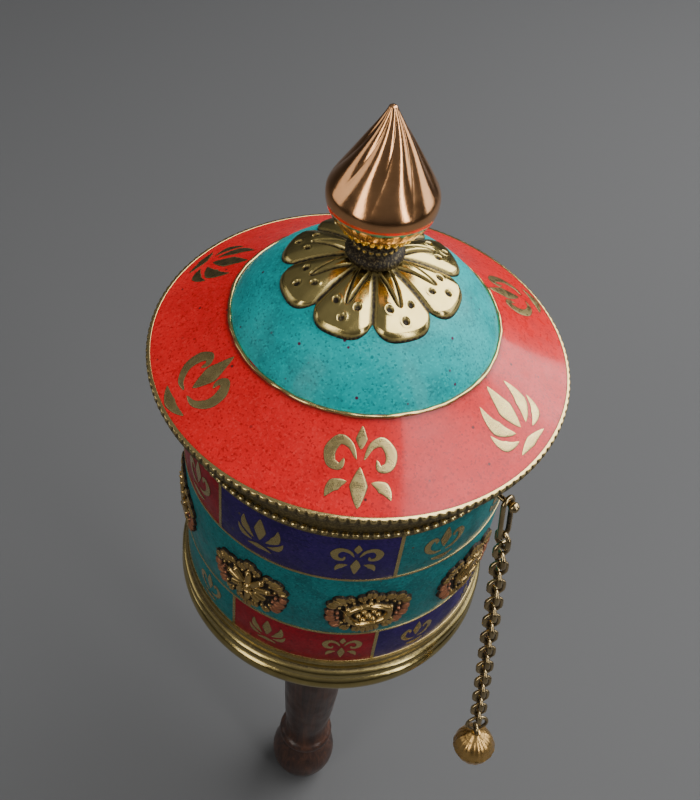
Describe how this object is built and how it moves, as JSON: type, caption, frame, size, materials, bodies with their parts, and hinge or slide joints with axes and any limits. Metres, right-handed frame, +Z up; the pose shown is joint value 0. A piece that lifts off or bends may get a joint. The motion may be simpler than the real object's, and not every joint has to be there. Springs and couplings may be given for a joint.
{
  "type": "prayer wheel",
  "caption": "Hand-held prayer wheel: inlaid drum with a domed lid and a pointed finial, spinning on a wooden handle, with a chained weight.",
  "frame": {"origin": "centre of the flat butt face at the lower end of the handle", "axes": "+Z up along the spindle, towards the finial; the chain's post points towards +X and -Y, 38.5 degrees from +X"},
  "size_m": [0.0981, 0.092, 0.2849],
  "materials": {
    "dark_wood": "dark stained, satin varnish, worn",
    "ferrule_brass": "satin",
    "spindle_steel": "drawn rod",
    "washer_shell": "polished shell",
    "polished_copper": "copper, polished, finely scratched",
    "gold_cup": "gilt, polished",
    "blackened_brass": "blackened",
    "teal_inlay": "ground turquoise in resin, polished, mottled",
    "coral_inlay": "ground coral in resin, polished, granular",
    "lid_brass": "bright",
    "rosette_brass": "antique, dark in the grooves",
    "drum_copper": "copper sheet, dull",
    "drum_brass": "antique, satin",
    "band_teal": "ground turquoise in resin, satin",
    "band_panels": "panels of coral, lapis and turquoise paste, satin",
    "emblem_brass": "cast relief, dark patina",
    "chain_brass": "dark antique",
    "scroll_paper": "rolled bark paper, blank",
    "core_bamboo": "plain"
  },
  "bodies": {
    "handle": {"handle_grip": "dark_wood", "handle_ferrule": "ferrule_brass", "spindle": "spindle_steel", "bearing_washer": "washer_shell"},
    "finial": {"finial_bulb": "polished_copper", "finial_ribbed_cup": "gold_cup", "finial_collar": "blackened_brass"},
    "lid": {"lid_dome": "teal_inlay", "lid_brim": "coral_inlay", "brim_edge_ring": "lid_brass", "dome_edge_wire": "lid_brass", "lid_skirt": "lid_brass", "lotus_rosette": "rosette_brass"},
    "drum": {"drum_wall": "drum_copper", "top_collar": "drum_brass", "bead_ring": "drum_brass", "upper_inlay_band": "band_panels", "middle_inlay_band": "band_teal", "lower_inlay_band": "band_panels", "bottom_moulding": "drum_brass", "bottom_plate": "drum_brass", "bottom_bush": "drum_brass", "scroll_core": "core_bamboo", "prayer_scroll": "scroll_paper", "chain_post": "chain_brass", "emblem_1": "emblem_brass", "emblem_2": "emblem_brass", "emblem_3": "emblem_brass", "emblem_4": "emblem_brass", "emblem_5": "emblem_brass", "emblem_6": "emblem_brass", "emblem_7": "emblem_brass", "emblem_8": "emblem_brass"},
    "hanger": {"hanger_link": "chain_brass"},
    "link_01": {"chain_link_01": "chain_brass"},
    "link_02": {"chain_link_02": "chain_brass"},
    "link_03": {"chain_link_03": "chain_brass"},
    "link_04": {"chain_link_04": "chain_brass"},
    "link_05": {"chain_link_05": "chain_brass"},
    "link_06": {"chain_link_06": "chain_brass"},
    "link_07": {"chain_link_07": "chain_brass"},
    "link_08": {"chain_link_08": "chain_brass"},
    "link_09": {"chain_link_09": "chain_brass"},
    "link_10": {"chain_link_10": "chain_brass"},
    "link_11": {"chain_link_11": "chain_brass"},
    "link_12": {"chain_link_12": "chain_brass"},
    "link_13": {"chain_link_13": "chain_brass"},
    "link_14": {"chain_link_14": "chain_brass"},
    "link_15": {"chain_link_15": "chain_brass"},
    "link_16": {"chain_link_16": "chain_brass"},
    "link_17": {"chain_link_17": "chain_brass"},
    "link_18": {"chain_link_18": "chain_brass"},
    "link_19": {"chain_link_19": "chain_brass"},
    "link_20": {"chain_link_20": "chain_brass"},
    "link_21": {"chain_link_21": "chain_brass"},
    "link_22": {"chain_link_22": "chain_brass"},
    "link_23": {"chain_link_23": "chain_brass"},
    "ring": {"end_ring": "chain_brass"},
    "weight": {"weight_eye": "chain_brass", "weight_ball": "chain_brass"}
  },
  "joints": [
    {"name": "drum_spin", "type": "hinge", "parent": "handle", "child": "drum", "pos_m": [0, 0, 0.18], "axis": [0, 0, 1], "continuous": true},
    {"name": "finial_lift", "type": "slide", "parent": "handle", "child": "finial", "axis": [0, 0, 1], "range_m": [0, 0.12]},
    {"name": "lid_lift", "type": "slide", "parent": "drum", "child": "lid", "axis": [0, 0, 1], "range_m": [0, 0.06]},
    {"name": "hanger_swing", "type": "hinge", "parent": "drum", "child": "hanger", "pos_m": [0.03475, -0.02764, 0.2135], "axis": [0.7826, -0.6225, 0], "range_deg": [-60, 60]},
    {"name": "link_01_swing", "type": "hinge", "parent": "hanger", "child": "link_01", "pos_m": [0.03601, -0.02864, 0.20272], "axis": [-0.6225, -0.7826, 0], "range_deg": [-10, 30]},
    {"name": "link_02_swing", "type": "hinge", "parent": "link_01", "child": "link_02", "pos_m": [0.03639, -0.02895, 0.19946], "axis": [-0.774, 0.6157, -0.1478], "range_deg": [-30, 30]},
    {"name": "link_03_swing", "type": "hinge", "parent": "link_02", "child": "link_03", "pos_m": [0.03677, -0.02925, 0.19619], "axis": [0.6225, 0.7826, 0], "range_deg": [-30, 10]},
    {"name": "link_04_swing", "type": "hinge", "parent": "link_03", "child": "link_04", "pos_m": [0.03715, -0.02955, 0.19293], "axis": [0.774, -0.6157, 0.1478], "range_deg": [-30, 30]},
    {"name": "link_05_swing", "type": "hinge", "parent": "link_04", "child": "link_05", "pos_m": [0.03754, -0.02986, 0.18967], "axis": [-0.6225, -0.7826, 0], "range_deg": [-10, 30]},
    {"name": "link_06_swing", "type": "hinge", "parent": "link_05", "child": "link_06", "pos_m": [0.03792, -0.03016, 0.1864], "axis": [-0.774, 0.6157, -0.1478], "range_deg": [-30, 30]},
    {"name": "link_07_swing", "type": "hinge", "parent": "link_06", "child": "link_07", "pos_m": [0.0383, -0.03046, 0.18314], "axis": [0.6225, 0.7826, 0], "range_deg": [-30, 10]},
    {"name": "link_08_swing", "type": "hinge", "parent": "link_07", "child": "link_08", "pos_m": [0.03868, -0.03077, 0.17987], "axis": [0.774, -0.6157, 0.1478], "range_deg": [-30, 30]},
    {"name": "link_09_swing", "type": "hinge", "parent": "link_08", "child": "link_09", "pos_m": [0.03906, -0.03107, 0.17661], "axis": [-0.6225, -0.7826, 0], "range_deg": [-10, 30]},
    {"name": "link_10_swing", "type": "hinge", "parent": "link_09", "child": "link_10", "pos_m": [0.03944, -0.03138, 0.17335], "axis": [-0.774, 0.6157, -0.1478], "range_deg": [-30, 30]},
    {"name": "link_11_swing", "type": "hinge", "parent": "link_10", "child": "link_11", "pos_m": [0.03983, -0.03168, 0.17008], "axis": [0.6225, 0.7826, 0], "range_deg": [-30, 10]},
    {"name": "link_12_swing", "type": "hinge", "parent": "link_11", "child": "link_12", "pos_m": [0.04021, -0.03198, 0.16682], "axis": [0.774, -0.6157, 0.1478], "range_deg": [-30, 30]},
    {"name": "link_13_swing", "type": "hinge", "parent": "link_12", "child": "link_13", "pos_m": [0.04059, -0.03229, 0.16356], "axis": [-0.6225, -0.7826, 0], "range_deg": [-10, 30]},
    {"name": "link_14_swing", "type": "hinge", "parent": "link_13", "child": "link_14", "pos_m": [0.04097, -0.03259, 0.16029], "axis": [-0.774, 0.6157, -0.1478], "range_deg": [-30, 30]},
    {"name": "link_15_swing", "type": "hinge", "parent": "link_14", "child": "link_15", "pos_m": [0.04135, -0.03289, 0.15703], "axis": [0.6225, 0.7826, 0], "range_deg": [-30, 10]},
    {"name": "link_16_swing", "type": "hinge", "parent": "link_15", "child": "link_16", "pos_m": [0.04174, -0.0332, 0.15376], "axis": [0.774, -0.6157, 0.1478], "range_deg": [-30, 30]},
    {"name": "link_17_swing", "type": "hinge", "parent": "link_16", "child": "link_17", "pos_m": [0.04212, -0.0335, 0.1505], "axis": [-0.6225, -0.7826, 0], "range_deg": [-10, 30]},
    {"name": "link_18_swing", "type": "hinge", "parent": "link_17", "child": "link_18", "pos_m": [0.0425, -0.03381, 0.14724], "axis": [-0.774, 0.6157, -0.1478], "range_deg": [-30, 30]},
    {"name": "link_19_swing", "type": "hinge", "parent": "link_18", "child": "link_19", "pos_m": [0.04288, -0.03411, 0.14397], "axis": [0.6225, 0.7826, 0], "range_deg": [-30, 10]},
    {"name": "link_20_swing", "type": "hinge", "parent": "link_19", "child": "link_20", "pos_m": [0.04326, -0.03441, 0.14071], "axis": [0.774, -0.6157, 0.1478], "range_deg": [-30, 30]},
    {"name": "link_21_swing", "type": "hinge", "parent": "link_20", "child": "link_21", "pos_m": [0.04364, -0.03472, 0.13745], "axis": [-0.6225, -0.7826, 0], "range_deg": [-10, 30]},
    {"name": "link_22_swing", "type": "hinge", "parent": "link_21", "child": "link_22", "pos_m": [0.04403, -0.03502, 0.13418], "axis": [-0.774, 0.6157, -0.1478], "range_deg": [-30, 30]},
    {"name": "link_23_swing", "type": "hinge", "parent": "link_22", "child": "link_23", "pos_m": [0.04441, -0.03532, 0.13092], "axis": [0.6225, 0.7826, 0], "range_deg": [-30, 10]},
    {"name": "ring_swing", "type": "hinge", "parent": "link_23", "child": "ring", "pos_m": [0.04479, -0.03563, 0.12765], "axis": [0.774, -0.6157, 0.1478], "range_deg": [-30, 30]},
    {"name": "weight_swing", "type": "hinge", "parent": "ring", "child": "weight", "pos_m": [0.04529, -0.03603, 0.12335], "axis": [-0.6225, -0.7826, 0], "range_deg": [-10, 30]}
  ],
  "couplings": [
    {"joint": "lid_lift", "follows": "finial_lift", "ratio": 0.5}
  ]
}
